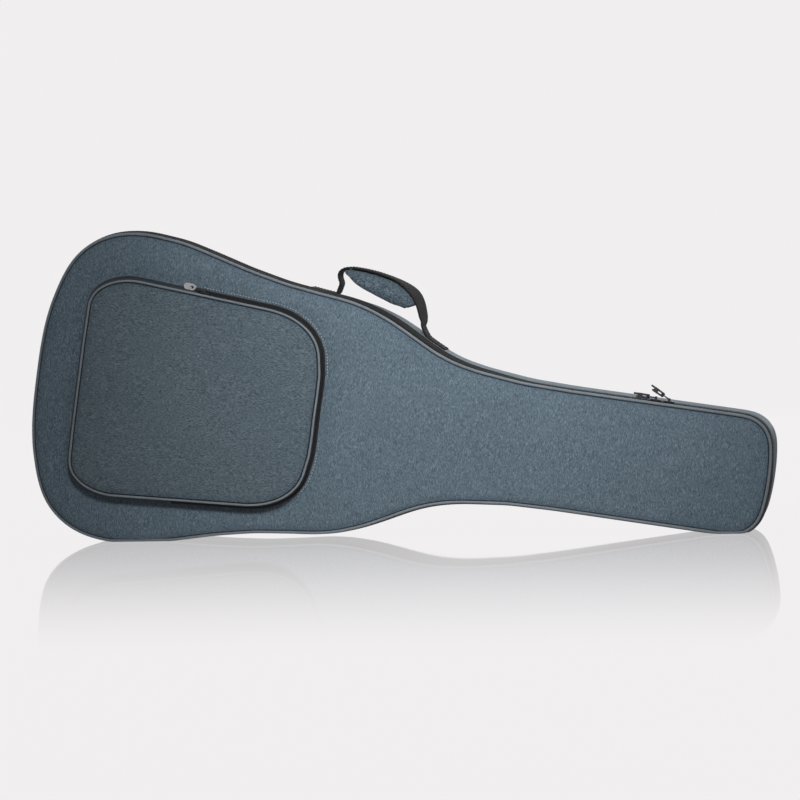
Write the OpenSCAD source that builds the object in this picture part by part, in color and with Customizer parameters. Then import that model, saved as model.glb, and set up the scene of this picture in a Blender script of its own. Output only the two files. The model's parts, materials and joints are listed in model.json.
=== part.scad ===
// Padded gig bag for a dreadnought guitar, standing on its long side.
// Local frame: x runs from the tail end to the head end, y from the front face to the back,
// z across the bag. place() stands the bag on the floor in the row frame.

/* [Case] */
// Length of the bag from the tail end to the head end
bag_len = 1070; // [1040:5:1100]
// Half of the width at the lower bout
bout_half = 225; // [215:1:235]
// Half of the width at the upper bout
upper_half = 174; // [168:1:180]
// Half of the width of the straight neck part
neck_half = 86.5; // [82:0.5:92]
// Depth from the front face to the back face
case_depth = 132; // [124:1:150]

/* [Layers] */
// Thickness of the outer fabric
fabric = 1.5; // [1.2:0.1:1.8]
// Thickness of the foam padding
foam = 10; // [8:1:14]
// Thickness of the plush lining
lining = 1; // [0.8:0.1:1.4]
// Thickness of the piping, outside the panel it edges
piping_out = 2.5; // [2:0.1:3]
// Height of the piping along the depth
piping_h = 5; // [4:0.5:6]

/* [Main zip] */
// Depth of the zip's middle, from the front face
zip_y = 26; // [24:1:32]
// Depth at which the zip tape meets the padded side wall
gusset_y = 46; // [44:1:56]
// Gap between the two rows of coil
zip_gap = 1.2; // [1.2:0.1:1.6]
// Width of one row of coil
coil_w = 3; // [2.6:0.1:3.4]
// Thickness of the zip tape
tape_t = 1; // [0.8:0.1:1.2]

/* [Pocket] */
// Height of the pocket above the front face
pocket_h = 24; // [22:1:28]
// Depth of the pocket zip's middle, above the front face
pocket_zip_h = 11; // [10:1:12]
// Gap between the two rows of the pocket coil
pocket_gap = 1.2; // [1.2:0.1:1.6]

/* [Handle] */
// Width of the handle webbing
handle_w = 38; // [34:1:40]
// Width of the padded grip
grip_w = 48; // [46:1:50]
// Thickness of the webbing
web_t = 2.5; // [2:0.1:3]

/* [Straps] */
// Thickness of the shoulder pads
pad_t = 10; // [8:1:12]
// Width of the shoulder pads
pad_w = 60; // [54:1:64]
// Width of the strap webbing
strap_w = 30; // [28:1:32]

/* [Hidden] */
$fn = 32;
eps = 0.05;
fit = 0.4;
cloth_gap = 0.3;
deg_step = 5;
curve_pull = 1.1;

// Half outlines: each station is [x, z, heading], joined by smooth curves.
case_stations = [
    [0, 0, 90],
    [17, bout_half - 86, 71],
    [50, bout_half - 30, 42],
    [142, bout_half, 0],
    [290, 194, -13.5],
    [405, upper_half, -5],
    [470, upper_half - 11, -17],
    [560, 121, -28],
    [640, neck_half + 9, -9],
    [770, neck_half, 0],
    [bag_len - 46, neck_half, 0],
    [bag_len - 4, neck_half - 36, -81],
    [bag_len, 0, -90]
];
pocket_slope = atan(13.7 / 190);
pocket_stations = [
    [70, 0, 90],
    [71, 112, 88],
    [140, 154.2, -pocket_slope],
    [330, 140.5, -pocket_slope],
    [411, 88, -75],
    [416, 0, -90]
];

function turn(a, b) = abs(b[2] - a[2]);
function steps(a, b) = turn(a, b) < 0.01 ? 1 : max(2, ceil(turn(a, b) / deg_step));
function pull(a, b) = curve_pull * norm([b[0] - a[0], b[1] - a[1]]);
function curve_at(a, b, t) =
    let (p = [a[0], a[1]], q = [b[0], b[1]], m = pull(a, b))
    (2 * t ^ 3 - 3 * t ^ 2 + 1) * p + (t ^ 3 - 2 * t ^ 2 + t) * m * [cos(a[2]), sin(a[2])]
    + (3 * t ^ 2 - 2 * t ^ 3) * q + (t ^ 3 - t ^ 2) * m * [cos(b[2]), sin(b[2])];
function slope_at(a, b, t) =
    let (p = [a[0], a[1]], q = [b[0], b[1]], m = pull(a, b))
    (6 * t ^ 2 - 6 * t) * p + (3 * t ^ 2 - 4 * t + 1) * m * [cos(a[2]), sin(a[2])]
    + (6 * t - 6 * t ^ 2) * q + (3 * t ^ 2 - 2 * t) * m * [cos(b[2]), sin(b[2])];
function left_of(d) = [-d[1], d[0]] / norm(d);

// Points along a chain of stations, moved to its right by inset.
function chain(st, inset) = [
    for (i = [0 : len(st) - 2])
        let (n = steps(st[i], st[i + 1]))
        for (k = [0 : n - (i == len(st) - 2 ? 0 : 1)])
            curve_at(st[i], st[i + 1], k / n) - inset * left_of(slope_at(st[i], st[i + 1], k / n))
];
function flip(pts) = [for (i = [len(pts) - 2 : -1 : 1]) [pts[i][0], -pts[i][1]]];
function closed(st, inset) = let (half = chain(st, inset)) concat(half, flip(half));

// The bag rests where its lower bout and its head corner both touch the floor.
rim = closed(case_stations, 0);
bout_rim = [for (p = rim) if (p[0] < bag_len / 2) p];
head_rim = [for (p = rim) if (p[0] >= bag_len / 2) p];
function low_z(pts, a) = min([for (p = pts) p[1] * cos(a) - p[0] * sin(a)]);
function settle(lo, hi, n) =
    let (mid = (lo + hi) / 2)
    n == 0 ? mid
        : low_z(bout_rim, mid) < low_z(head_rim, mid) ? settle(mid, hi, n - 1) : settle(lo, mid, n - 1);
tilt = settle(0, 20, 30);
floor_trim = 3.5;
floor_z = low_z(rim, tilt) + floor_trim;
rim_x = [for (p = rim) p[0] * cos(tilt) + p[1] * sin(tilt)];
mid_x = (min(rim_x) + max(rim_x)) / 2;

// Stations across the depth.
wall_out = 0.4;
wall_in = wall_out + fabric;
foam_in = wall_in + foam;
room_in = foam_in + lining;
panel_in = piping_out + fabric;
lid_room_y = fabric + foam + lining;
back_y = case_depth - fabric;
back_foam_y = back_y - foam;
back_room_y = back_foam_y - lining;
lid_coil_y = zip_y - zip_gap / 2 - coil_w;
case_coil_y = zip_y + zip_gap / 2;
case_tape_y = case_coil_y + coil_w;
coil_out = wall_out - 0.7;
coil_in = wall_out + tape_t + 1.1;
flap_coil_y = -pocket_zip_h - pocket_gap / 2;
base_coil_y = -pocket_zip_h + pocket_gap / 2;
pocket_coil_w = 2.4;
pocket_tape_t = 0.8;
pocket_pipe_out = 2;
pocket_pipe_h = 4;
pocket_skin = 1.2;
pocket_wall = -2.2;
pocket_foot = -6;
pocket_foam = 4;
pocket_front_y = -pocket_h;
pocket_pipe_y = pocket_front_y - 0.5;
patch_t = 1.5;
strap_y = case_depth + patch_t + cloth_gap;
front_end_y = pocket_pipe_y;
back_end_y = strap_y + pad_t;
mid_y = (front_end_y + back_end_y) / 2;

// Hinge cloth takes the place of the zip between the two bouts on the floor side.
hinge_x0 = 130;
hinge_x1 = 440;
hinge_box = [hinge_x1 - hinge_x0, 300, 250];
pocket_zip_top_x = 224;
pocket_zip_low_x = 219;

// Handle: the free loop and the tails sewn to the side wall.
handle_y = (gusset_y + case_depth - piping_h) / 2 + 1;
loop_stations = [
    [418, 182, 100],
    [409, 201, 88],
    [428, 213.5, 0],
    [484, 207, -13],
    [516, 193, -34],
    [535, 166, -70],
    [543, 143, -68]
];
leaf_low = [[534, 163], [516, 165], [492, 170.5], [466, 179], [444, 188], [426, 198.5], [416.5, 207]];
grip_skin = 6;
leg_left = [[421, 170.5], [418, 182]];
leg_right = [[550, 125.5], [543, 143]];
tail_x_left = [368, 421];
tail_x_right = [548.5, 580];
handle_fold = 16;
handle_dir = atan2(leg_left[1][1] - leg_right[1][1], leg_right[1][0] - leg_left[1][0]);

// Straps: each hangs below the line through its two anchors.
strap_top = [600, 19];
strap_low = [112, 130];
strap_drop = 21;

module place() {
    translate([-mid_x, -mid_y, -floor_z]) rotate([0, tilt, 0]) children();
}

// Cloth that touches the floor is pressed flat there.
module on_floor() {
    difference() {
        place() children();
        translate([-900, -400, -50]) cube([1800, 800, 50]);
    }
}

// A flat shape in x and z, between two depths.
module slab(pts, y0, y1) {
    translate([0, y1, 0]) rotate([90, 0, 0]) linear_extrude(y1 - y0) polygon(pts);
}

module ring(st, outer, inner, y0, y1) {
    difference() {
        slab(closed(st, outer), y0, y1);
        slab(closed(st, inner), y0 - 1, y1 + 1);
    }
}

module block(x0, x1, y0, y1, z0, z1) {
    translate([x0, y0, z0]) cube([x1 - x0, y1 - y0, z1 - z0]);
}

module hinge_zone() {
    translate([hinge_x0, -50, -250]) cube(hinge_box);
}

module pocket_hinge_zone() {
    block(0, pocket_zip_top_x, -60, 10, 0, 200);
    block(0, pocket_zip_low_x, -60, 10, -200, 0.01);
}

// ---- case ----

module back_panel() color("#4d626f") on_floor() slab(closed(case_stations, piping_out), back_y, case_depth);
module back_foam() color("#3a3a3c") place() slab(closed(case_stations, panel_in), back_foam_y, back_y);
module back_lining() color("#2a2b2e")
    place() slab(closed(case_stations, panel_in), back_room_y, back_foam_y);
module side_wall() color("#4d626f") on_floor()
    ring(case_stations, wall_out, wall_in, gusset_y, case_depth - piping_h);
module side_foam() color("#3a3a3c") place() ring(case_stations, wall_in, foam_in, gusset_y, back_room_y);
module side_lining() color("#2a2b2e") place() ring(case_stations, foam_in, room_in, gusset_y, back_room_y);
module rim_binding() color("#1f2022") place()
    ring(case_stations, wall_in, room_in, gusset_y - fabric, gusset_y);
module back_piping() color("#7b8892") on_floor()
    ring(case_stations, 0, piping_out, case_depth - piping_h, case_depth);

module case_zip_tape() color("#161616") on_floor() difference() {
    ring(case_stations, wall_out, wall_out + tape_t, case_tape_y, gusset_y);
    hinge_zone();
}

module case_zip_coil() color("#101010") on_floor() difference() {
    ring(case_stations, coil_out, coil_in, case_coil_y, case_tape_y);
    hinge_zone();
}

module hinge_cloth_case() color("#1a1b1d") on_floor() intersection() {
    ring(case_stations, wall_out, wall_out + tape_t, case_coil_y, gusset_y);
    hinge_zone();
}

// One stop closes the coil at each end of the main zip.
module zip_end_stops() color("#202020") on_floor() intersection() {
    ring(case_stations, wall_out + tape_t + eps, wall_out + tape_t + 2, case_coil_y, case_tape_y + 3);
    union() {
        block(hinge_x0 + 1, hinge_x0 + 5, 0, 60, -250, 0);
        block(hinge_x1 - 5, hinge_x1 - 1, 0, 60, -250, 0);
    }
}

module tail_pad() color("#232427") place() intersection() {
    ring(case_stations, room_in, room_in + 12, gusset_y + 4, back_room_y);
    block(0, 120, 0, case_depth, -70, 70);
}

module head_pad() color("#232427") place() intersection() {
    ring(case_stations, room_in, room_in + 14, gusset_y + 4, back_room_y);
    block(bag_len - 120, bag_len, 0, case_depth, -46, 46);
}

rest_x = [655, 745];
rest_top_y = 76;
rest_half = 54;
module neck_rest() color("#26272a") place() difference() {
    block(rest_x[0], rest_x[1], rest_top_y, back_room_y, -rest_half, rest_half);
    translate([rest_x[0] - 1, rest_top_y - 6, 0]) rotate([0, 90, 0]) cylinder(h = 92, r = 32);
}

strap_x = [687, 713];
neck_hinge_z = rest_half + 1;
neck_strap_t = 2;

// A strip of webbing down each side of the rest.
module neck_strap_anchor() color("#141414") place() for (side = [-1, 1])
    block(strap_x[0], strap_x[1], rest_top_y + cloth_gap, 112, side * (rest_half + 1) - 1,
        side * (rest_half + 1) + 1);

// Each half of the neck strap reaches to the middle, where hook-and-loop tape joins them.
module neck_strap(side) color("#141414") place() {
    far = side * cloth_gap;
    near = side * neck_hinge_z;
    block(strap_x[0], strap_x[1], rest_top_y - neck_strap_t, rest_top_y, min(far, near), max(far, near));
}

// ---- carry handle ----

function band(st, half) =
    let (outer = chain(st, -half), inner = chain(st, half))
    concat(outer, [for (i = [len(inner) - 1 : -1 : 0]) inner[i]]);

// A wedge that leaves room for the webbing to fold where the loop starts to swing.
module fold_wedge(foot, up) {
    rise = tan(handle_fold);
    translate([foot[0], handle_y, foot[1]]) rotate([0, handle_dir, 0]) rotate([90, 0, 90])
        linear_extrude(40, center = true)
            polygon([[-30, -30 * up], [30, -30 * up], [30, 30 * rise * up], [0, 0], [-30, 30 * rise * up]]);
}

module leg(line) {
    run = line[1] - line[0];
    side = web_t / 2 * left_of(run);
    slab([line[0] - side, line[0] + side, line[1] + side, line[1] - side],
        handle_y - handle_w / 2, handle_y + handle_w / 2);
}

module handle_tails() color("#17181a") place() {
    difference() {
        union() {
            intersection() {
                ring(case_stations, wall_out - web_t, wall_out, handle_y - handle_w / 2,
                    handle_y + handle_w / 2);
                union() {
                    block(tail_x_left[0], tail_x_left[1], 0, case_depth, 50, 250);
                    block(tail_x_right[0], tail_x_right[1], 0, case_depth, 50, 250);
                }
            }
            leg(leg_left);
            leg(leg_right);
        }
        slab(closed(case_stations, wall_out), 0, case_depth);
        translate([0, 0, -cloth_gap]) {
            fold_wedge(leg_left[1], -1);
            fold_wedge(leg_right[1], -1);
        }
    }
}

module handle_loop() color("#17181a") place() difference() {
    slab(band(loop_stations, web_t / 2), handle_y - handle_w / 2, handle_y + handle_w / 2);
    fold_wedge(leg_left[1], 1);
    fold_wedge(leg_right[1], 1);
}

function leaf() = concat(
    [for (p = chain([for (i = [2 : 5]) loop_stations[i]], web_t / 2 + eps)) p],
    [for (p = leaf_low) p]
);

module handle_grip() color("#3f525e") place() difference() {
    slab(leaf(), handle_y - grip_w / 2, handle_y + grip_w / 2);
    translate([1, 0, -1]) slab(
        concat(
            chain([for (i = [2 : 5]) loop_stations[i]], web_t / 2 + grip_skin),
            [[530, 140], [480, 150], [430, 170], [420, 185]]
        ),
        handle_y - grip_w / 2 + grip_skin, handle_y + grip_w / 2 - grip_skin
    );
}

// ---- lid ----

module front_panel() color("#5b7280") on_floor() slab(closed(case_stations, piping_out), 0, fabric);
module front_foam() color("#3a3a3c") place() slab(closed(case_stations, panel_in), fabric, fabric + foam);
module front_lining() color("#2a2b2e")
    place() slab(closed(case_stations, panel_in), fabric + foam, lid_room_y);
module front_piping() color("#8b959d") on_floor() ring(case_stations, 0, piping_out, 0, piping_h);

module lid_zip_tape() color("#161616") on_floor() difference() {
    ring(case_stations, wall_out, wall_out + tape_t, piping_h, lid_coil_y);
    hinge_zone();
}

module lid_zip_coil() color("#101010") on_floor() difference() {
    ring(case_stations, coil_out, coil_in, lid_coil_y, lid_coil_y + coil_w);
    hinge_zone();
}

module hinge_cloth_lid() color("#1a1b1d") on_floor() intersection() {
    ring(case_stations, wall_out, wall_out + tape_t, piping_h, lid_coil_y + coil_w);
    hinge_zone();
}

// ---- pocket ----

module pocket_base_cloth() color("#54697a") place() {
    ring(pocket_stations, pocket_foot, pocket_wall + pocket_skin, -3, 0);
    intersection() {
        ring(pocket_stations, pocket_wall, pocket_wall + pocket_skin, base_coil_y, -3);
        pocket_hinge_zone();
    }
}

module pocket_base_tape() color("#161616") place() difference() {
    ring(pocket_stations, pocket_wall, pocket_wall + pocket_tape_t, base_coil_y + pocket_coil_w, -3);
    pocket_hinge_zone();
}

module pocket_base_coil() color("#101010") place() difference() {
    pocket_coil_ring(base_coil_y);
    pocket_hinge_zone();
}

module pocket_coil_ring(y) {
    ring(pocket_stations, pocket_wall - 0.7, pocket_wall + pocket_tape_t + 0.7, y, y + pocket_coil_w);
}

module pocket_panel() color("#54697a") place()
    slab(closed(pocket_stations, 0), pocket_front_y, pocket_front_y + pocket_skin);
module pocket_padding() color("#3a3a3c") place()
    slab(closed(pocket_stations, pocket_skin), pocket_front_y + pocket_skin,
        pocket_front_y + pocket_skin + pocket_foam);
module pocket_piping() color("#8b959d") place()
    ring(pocket_stations, -pocket_pipe_out, 0, pocket_pipe_y, pocket_pipe_y + pocket_pipe_h);

module pocket_flap_cloth() color("#54697a") place() intersection() {
    ring(pocket_stations, pocket_wall, pocket_wall + pocket_skin,
        pocket_pipe_y + pocket_pipe_h, flap_coil_y);
    pocket_hinge_zone();
}

module pocket_flap_tape() color("#161616") place() difference() {
    ring(pocket_stations, pocket_wall, pocket_wall + pocket_tape_t,
        pocket_pipe_y + pocket_pipe_h, flap_coil_y - pocket_coil_w);
    pocket_hinge_zone();
}

module pocket_flap_coil() color("#101010") place() difference() {
    pocket_coil_ring(flap_coil_y - pocket_coil_w);
    pocket_hinge_zone();
}

// ---- zip sliders ----
// A slider is drawn with its coil along x and the outside towards +z; z = 0 is the coil's outer face.

pin_r = 0.9;
bore_r = 0.98;
lug_z = 4.6;
module slider(length, width, coil_t) {
    block(-length / 2, length / 2, -width / 2, width / 2, fit, fit + 2);
    block(-length / 2, length / 2, -width / 2, width / 2, -coil_t - fit - 1.6, -coil_t - fit);
    block(length / 2 - 5, length / 2 - 1, -zip_gap / 2 + cloth_gap, zip_gap / 2 - cloth_gap,
        -coil_t - fit - 0.1, fit + 0.1);
    for (side = [-1, 1]) {
        block(-1.8, 1.8, side * 3.1 - 0.6, side * 3.1 + 0.6, fit + 1.9, lug_z);
        translate([0, side * 3.1 + 0.6, lug_z]) rotate([90, 0, 0]) cylinder(h = 1.2, r = 1.8);
    }
    translate([0, 3.2, lug_z]) rotate([90, 0, 0]) cylinder(h = 6.4, r = pin_r);
}

// The tab's barrel turns on the slider's pin, and the tab points towards -x.
module pull_tab(length, width) {
    difference() {
        union() {
            translate([0, 2.2, 0]) rotate([90, 0, 0]) cylinder(h = 4.4, r = 1.9);
            block(-4, 0, -2.2, 2.2, -0.8, 0.8);
            block(-length + width / 2, -3.6, -width / 2, width / 2, -0.8, 0.8);
            translate([-length + width / 2, 0, -0.8]) cylinder(h = 1.6, r = width / 2);
        }
        translate([0, 3, 0]) rotate([90, 0, 0]) cylinder(h = 6, r = bore_r);
        translate([-length + width / 2, 0, -2]) cylinder(h = 4, r = width / 2 - 1.6);
    }
}

// A folded cord through the tab's eye, with both cut ends bound together.
module pull_loop(tab_len, length) {
    for (side = [-1, 1]) translate([-tab_len + 3.8, 0, side * 2.2]) rotate([0, -90, 0])
        cylinder(h = length + side * 2, r = 1.3);
    translate([-tab_len + 3.8, 0, -2.9]) cylinder(h = 5.8, r = 1.2);
    translate([-tab_len - length * 0.45, 0, 0]) cube([7, 4.6, 7.2], center = true);
}

module at_neck_zip(x) place() translate([x, zip_y, neck_half - coil_out]) children();

body_slider_x = 893;
head_slider_x = 912;
main_slider_len = 15;
main_slider_w = 12;
main_coil_t = coil_in - coil_out;
tab_len = 14;
tab_w = 7;
loop_len = 20;
head_pull_up = 27;

module zip_slider_body() color("#111111") at_neck_zip(body_slider_x)
    slider(main_slider_len, main_slider_w, main_coil_t);
module zip_slider_head() color("#111111") at_neck_zip(head_slider_x)
    slider(main_slider_len, main_slider_w, main_coil_t);
module pull_tab_body() color("#111111")
    at_neck_zip(body_slider_x) translate([0, 0, lug_z]) pull_tab(tab_len, tab_w);
module pull_loop_body() color("#0c0c0c") at_neck_zip(body_slider_x) translate([0, 0, lug_z])
    pull_loop(tab_len, loop_len);
module pull_tab_head() color("#111111") at_neck_zip(head_slider_x) translate([0, 0, lug_z])
    rotate([0, head_pull_up, 0]) pull_tab(tab_len, tab_w);
module pull_loop_head() color("#0c0c0c") at_neck_zip(head_slider_x) translate([0, 0, lug_z])
    rotate([0, head_pull_up, 0]) pull_loop(tab_len, loop_len);

pocket_slider_x = 234;
pocket_slider_z = 154.2 - (pocket_slider_x - 140) * tan(pocket_slope);
module at_pocket_zip() place()
    translate([pocket_slider_x, -pocket_zip_h, pocket_slider_z]) rotate([0, pocket_slope, 0])
        translate([0, 0, 0.7 - pocket_wall]) children();
module pocket_slider() color("#b9bcc0") at_pocket_zip() slider(12, 9, pocket_tape_t + 1.4);

link_len = 13;
module pocket_pull_link() color("#9a9da2") at_pocket_zip() translate([0, 0, lug_z]) difference() {
    union() {
        translate([0, 2.2, 0]) rotate([90, 0, 0]) cylinder(h = 4.4, r = 1.9);
        translate([0, 0.8, 0]) rotate([90, 0, 0]) linear_extrude(1.6)
            polygon([[0, 1.8], [-link_len, 2.6], [-link_len, -1.4], [0, -1.8]]);
        translate([-link_len, 0.8, 0.6]) rotate([90, 0, 0]) cylinder(h = 1.6, r = 2);
    }
    translate([0, 3, 0]) rotate([90, 0, 0]) cylinder(h = 6, r = bore_r);
}

module pocket_pull_tab() color("#d7d9dc")
    at_pocket_zip() translate([-link_len - 1, 0, lug_z + 1.2]) difference() {
    union() {
        translate([-6.2, 2.4, 0]) rotate([90, 0, 0]) cylinder(h = 1.5, r = 5);
        translate([-14, 2.4, 0]) rotate([90, 0, 0]) cylinder(h = 1.5, r = 5);
        block(-14, -6.2, 0.9, 2.4, -5, 5);
        block(-6.2, 1.5, 0.9, 2.4, -2.2, 2.2);
    }
    translate([-6.2, 3, 0]) rotate([90, 0, 0]) cylinder(h = 3, r = 2);
}

// ---- shoulder straps ----

strap_run = [strap_top[0] - strap_low[0], strap_top[1] - strap_low[1]];
strap_dir = atan2(strap_run[1], strap_run[0]);
strap_len = norm(strap_run);

// Drawn with x along the line from the low anchor to the top anchor and the strap hanging to -z.
module at_strap(upper) place()
    translate([strap_low[0], 0, (upper ? strap_low[1] : -strap_low[1]) + strap_drop])
        rotate([0, upper ? -strap_dir : strap_dir, 0]) children();

function sag(x) = strap_drop + 22 * sin(180 * x / strap_len);
pad_x = [150, strap_len - 28];
function pad_half(x) =
    let (t = (x - pad_x[0]) / (pad_x[1] - pad_x[0]))
    pad_w / 2 - (pad_w - strap_w) / 2 * (abs(2 * t - 1) ^ 6);
function ribbon(x0, x1, n, half) = concat(
    [for (i = [0 : n]) let (x = x0 + (x1 - x0) * i / n) [x, -sag(x) + half(x)]],
    [for (i = [n : -1 : 0]) let (x = x0 + (x1 - x0) * i / n) [x, -sag(x) - half(x)]]
);
web_half = function (x) strap_w / 2;
tail_half = function (x) strap_w / 2 - 2.5;

module strap_pad(upper) color("#48545c") at_strap(upper)
    slab(ribbon(pad_x[0], pad_x[1], 22, function (x) pad_half(x)), strap_y, strap_y + pad_t);
module strap_web(upper) color("#17181a") at_strap(upper)
    slab(ribbon(pad_x[1] + eps, strap_len - 2, 3, web_half), strap_y, strap_y + web_t);
module strap_tail(upper) color("#17181a") at_strap(upper)
    slab(ribbon(3, pad_x[0] - 30, 8, tail_half), strap_y, strap_y + web_t);

// A ladder-lock frame with two slots between the pad's end and the tail webbing.
module strap_buckle(upper) color("#141414") at_strap(upper)
    translate([pad_x[0] - 15, strap_y, -sag(pad_x[0] - 15)]) rotate([0, 3.5, 0]) difference() {
        block(-13, 13, 0, 5, -18, 18);
        block(-9, -3, -1, 6, -13.5, 13.5);
        block(3, 9, -1, 6, -13.5, 13.5);
    }

module strap_patch() color("#1a1b1d") place() block(560, 618, case_depth, case_depth + patch_t, -52, 52);

module strap_tab(upper) color("#17181a") at_strap(upper)
    block(-22, 12, case_depth, case_depth + patch_t, -strap_w - 3, 3);

back_panel();
back_foam();
back_lining();
side_wall();
side_foam();
side_lining();
rim_binding();
back_piping();
case_zip_tape();
case_zip_coil();
hinge_cloth_case();
zip_end_stops();
tail_pad();
head_pad();
neck_rest();
neck_strap_anchor();
neck_strap(1);  // neck_strap_upper
neck_strap(-1);  // neck_strap_lower
handle_tails();
handle_loop();
handle_grip();
front_panel();
front_foam();
front_lining();
front_piping();
lid_zip_tape();
lid_zip_coil();
hinge_cloth_lid();
pocket_base_cloth();
pocket_base_tape();
pocket_base_coil();
pocket_panel();
pocket_padding();
pocket_piping();
pocket_flap_cloth();
pocket_flap_tape();
pocket_flap_coil();
pocket_slider();
pocket_pull_link();
pocket_pull_tab();
zip_slider_body();
zip_slider_head();
pull_tab_body();
pull_loop_body();
pull_tab_head();
pull_loop_head();
strap_patch();
strap_tab(true);  // strap_tab_upper
strap_tab(false);  // strap_tab_lower
strap_pad(true);  // strap_pad_upper
strap_web(true);  // strap_web_upper
strap_tail(true);  // strap_tail_upper
strap_buckle(true);  // strap_buckle_upper
strap_pad(false);  // strap_pad_lower
strap_web(false);  // strap_web_lower
strap_tail(false);  // strap_tail_lower
strap_buckle(false);  // strap_buckle_lower
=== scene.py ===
import json
import math

import bmesh
import bpy
import numpy as np
from mathutils import Matrix, Vector, noise


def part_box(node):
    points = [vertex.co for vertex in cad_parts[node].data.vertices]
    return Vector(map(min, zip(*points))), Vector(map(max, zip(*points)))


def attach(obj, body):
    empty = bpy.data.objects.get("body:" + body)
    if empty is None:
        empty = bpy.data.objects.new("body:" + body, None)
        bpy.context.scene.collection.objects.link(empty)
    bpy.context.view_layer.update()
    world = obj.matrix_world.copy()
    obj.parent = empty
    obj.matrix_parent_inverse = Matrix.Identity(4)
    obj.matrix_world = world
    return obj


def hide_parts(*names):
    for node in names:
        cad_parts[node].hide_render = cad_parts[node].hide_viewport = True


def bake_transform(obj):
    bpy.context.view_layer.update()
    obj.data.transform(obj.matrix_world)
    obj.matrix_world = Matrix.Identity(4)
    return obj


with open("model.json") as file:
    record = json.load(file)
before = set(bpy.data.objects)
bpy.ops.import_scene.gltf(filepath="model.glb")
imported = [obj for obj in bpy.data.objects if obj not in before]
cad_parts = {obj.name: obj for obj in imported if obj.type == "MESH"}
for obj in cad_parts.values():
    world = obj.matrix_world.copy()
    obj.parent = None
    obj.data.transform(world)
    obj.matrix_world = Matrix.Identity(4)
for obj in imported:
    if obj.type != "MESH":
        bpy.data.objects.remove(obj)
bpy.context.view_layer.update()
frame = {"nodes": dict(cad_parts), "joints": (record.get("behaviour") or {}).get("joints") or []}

# ---------------------------------------------------------------- frame helpers
NODES = frame["nodes"]
JOINT = {j["name"]: j for j in frame["joints"]}
along = np.array(JOINT["body_slider_run"]["axis"])
TILT = math.atan2(-along[2], along[0])
COS, SIN = math.cos(TILT), math.sin(TILT)
FINE = 1.0


def mesh_points(node):
    return np.array([v.co for v in NODES[node].data.vertices], float)


def outline(node):
    """The edge loop round the front face of a flat node, as x and z points."""
    bm = bmesh.new()
    bm.from_mesh(NODES[node].data)
    bmesh.ops.remove_doubles(bm, verts=bm.verts, dist=1e-6)
    bm.normal_update()
    cap = {f for f in bm.faces if f.normal.y < -0.99}
    after = {}
    for e in bm.edges:
        if len([f for f in e.link_faces if f in cap]) == 1:
            for a, b in ((e.verts[0], e.verts[1]), (e.verts[1], e.verts[0])):
                after.setdefault(a, []).append(b)
    first = min(after, key=lambda v: v.co.x)
    loop, seen = [first], {first}
    while True:
        step = [v for v in after[loop[-1]] if v not in seen]
        if not step:
            break
        loop.append(step[0])
        seen.add(step[0])
    pts = np.array([(v.co.x, v.co.z) for v in loop])
    bm.free()
    return pts


def local(p):
    """Along and across the bag, from x and z."""
    return np.stack([p[..., 0] * COS - p[..., 1] * SIN, p[..., 0] * SIN + p[..., 1] * COS], -1)


def world_xz(q):
    return np.stack([q[..., 0] * COS + q[..., 1] * SIN, -q[..., 0] * SIN + q[..., 1] * COS], -1)


def even_loop(pts, count, soften):
    """The same number of evenly spaced points, from the tail end over the top to the head end and back."""
    q = local(pts)
    area = np.sum(q[:, 0] * np.roll(q[:, 1], -1) - np.roll(q[:, 0], -1) * q[:, 1])
    if area > 0:
        q = q[::-1]
    mid = (q[:, 1].max() + q[:, 1].min()) / 2
    ring = np.vstack([q, q[:1]])
    seg = np.hypot(*np.diff(ring, axis=0).T)
    s = np.concatenate([[0], np.cumsum(seg)])
    fine = np.linspace(0, s[-1], 8001)[:-1]
    d = np.stack([np.interp(fine, s, ring[:, k]) for k in (0, 1)], -1)
    width = soften / (s[-1] / 8000)
    freq = np.fft.fftfreq(8000)
    g = np.exp(-2 * (math.pi * freq * width) ** 2)
    d = np.stack([np.fft.ifft(np.fft.fft(d[:, k]) * g).real for k in (0, 1)], -1)
    tail = np.where(d[:, 0] < d[:, 0].min() + 0.05)[0]
    start = tail[np.argmin(np.abs(d[tail, 1] - mid))]
    d = np.roll(d, -start, axis=0)
    ring = np.vstack([d, d[:1]])
    s = np.concatenate([[0], np.cumsum(np.hypot(*np.diff(ring, axis=0).T))])
    t = np.linspace(0, s[-1], count + 1)[:-1]
    q = np.stack([np.interp(t, s, ring[:, k]) for k in (0, 1)], -1)
    half = count // 2
    up, low = q[1:half], q[-1:half:-1]
    even = np.stack([(up[:, 0] + low[:, 0]) / 2, (up[:, 1] - low[:, 1]) / 2], -1)
    q[1:half] = even + [0, mid]
    q[-1:half:-1] = even * [1, -1] + [0, mid]
    return q, s[-1]


def normals(q):
    t = np.roll(q, -1, 0) - np.roll(q, 1, 0)
    t /= np.hypot(t[:, 0], t[:, 1])[:, None]
    return np.stack([-t[:, 1], t[:, 0]], -1)


def lo(node):
    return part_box(node)[0]


def hi(node):
    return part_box(node)[1]


# ---------------------------------------------------------------- outlines
COUNT = int(720 * FINE)
foam_loop, _ = even_loop(outline("front_foam"), COUNT, 0.010)
FOAM_IN = (hi("front_piping")[0] - lo("front_piping")[0] - hi("front_foam")[0] + lo("front_foam")[0]) / 2
case_n = normals(foam_loop)
RIM = foam_loop + case_n * FOAM_IN
U0 = RIM[:, 0].min()
V0 = (RIM[:, 1].max() + RIM[:, 1].min()) / 2

pocket_loop, _ = even_loop(outline("pocket_panel"), int(420 * FINE), 0.004)
pocket_n = normals(pocket_loop)

FRONT = lo("front_panel")[1]
BACK = hi("back_panel")[1]


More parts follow.
